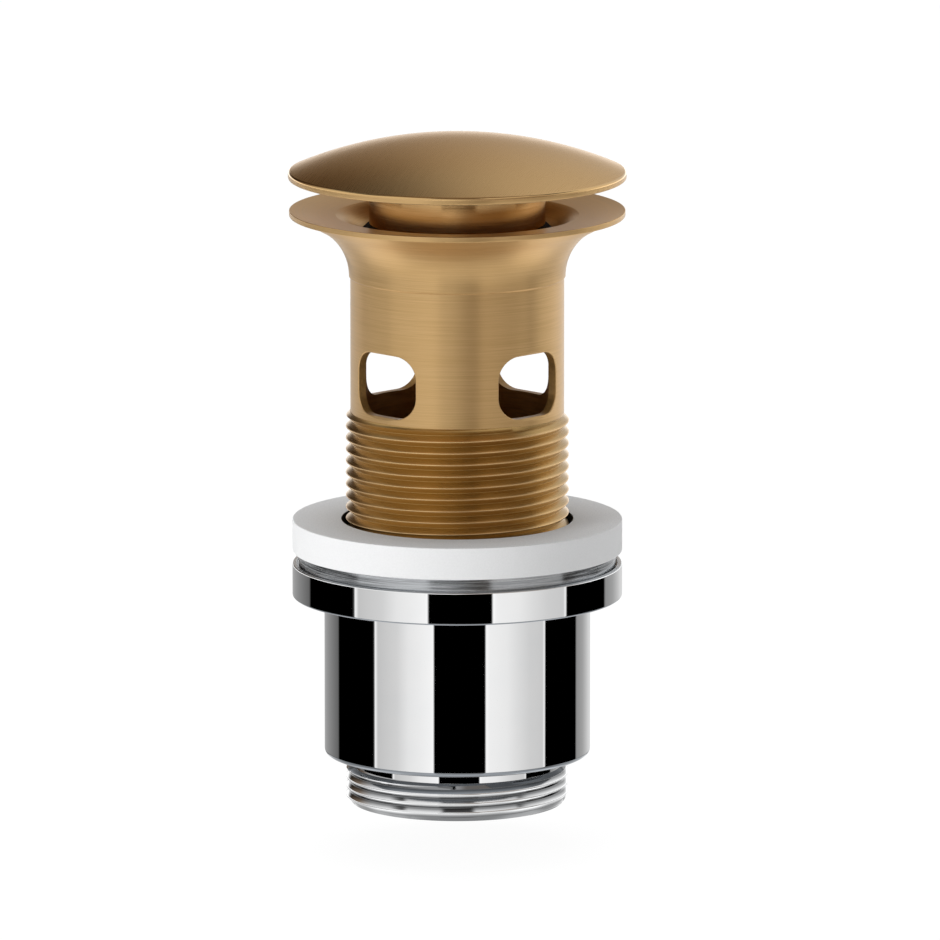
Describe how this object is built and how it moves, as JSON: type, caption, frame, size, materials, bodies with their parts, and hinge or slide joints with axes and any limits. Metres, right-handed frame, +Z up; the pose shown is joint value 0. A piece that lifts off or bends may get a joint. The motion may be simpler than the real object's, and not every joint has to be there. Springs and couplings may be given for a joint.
{
  "type": "basin waste",
  "caption": "Slotted push-to-open basin waste: domed mushroom cap, flared flange, slotted threaded tube, clamping washer and screwed outlet tailpiece.",
  "frame": {"origin": "centre of the outlet spigot's end face, on the floor that the waste stands on", "axes": "+Z up along the waste's axis, from the outlet to the cap; +X to the viewer's right and +Y away from the viewer, with overflow slots at 45 degrees to both"},
  "size_m": [0.0634, 0.0634, 0.1267],
  "materials": {
    "bronze": "brushed bronze, circumferential grain",
    "chrome": "polished chrome plate",
    "brass": "plain turned brass",
    "steel": "bright stainless steel",
    "slip_steel": "turned stainless steel",
    "white_washer": "fine matte moulded",
    "black_rubber": "smooth matte"
  },
  "bodies": {
    "waste": {"waste_body": "bronze", "gland": "brass", "gland_seal": "black_rubber", "cartridge_barrel": "brass", "track_balls": "steel", "ball_retainer": "brass", "return_spring": "steel", "cartridge_base": "brass", "stud_washer": "steel", "stud_nut": "brass"},
    "plug": {"mushroom_cap": "bronze", "plug_seal": "black_rubber", "seal_retainer": "brass", "cap_lock_nut": "brass", "plunger": "brass", "spring_washer": "steel"},
    "cam": {"track_sleeve": "brass"},
    "clamp": {"basin_washer": "white_washer", "slip_washer": "slip_steel"},
    "tail": {"tailpiece": "chrome"}
  },
  "joints": [
    {"name": "plug_slide", "type": "slide", "parent": "waste", "child": "plug", "axis": [0, 0, 1], "range_m": [-0.0057, 0], "stiffness_N_per_m": 600, "springref_m": 0.01, "deforming": ["return_spring"]},
    {"name": "sleeve_turn", "type": "hinge", "parent": "plug", "child": "cam", "pos_m": [0, 0, 0.0865], "axis": [0, 0, 1], "range_deg": [0, 60]},
    {"name": "clamp_slide", "type": "slide", "parent": "waste", "child": "clamp", "axis": [0, 0, 1], "range_m": [-0.008, 0.02]},
    {"name": "tail_turn", "type": "hinge", "parent": "clamp", "child": "tail", "pos_m": [0, 0, 0.025], "axis": [0, 0, 1], "range_deg": [-1247, 3118]}
  ],
  "couplings": [
    {"joint": "sleeve_turn", "follows": "plug_slide", "rad_per_m": -183.7},
    {"joint": "clamp_slide", "follows": "tail_turn", "m_per_rad": 0.00036749}
  ]
}
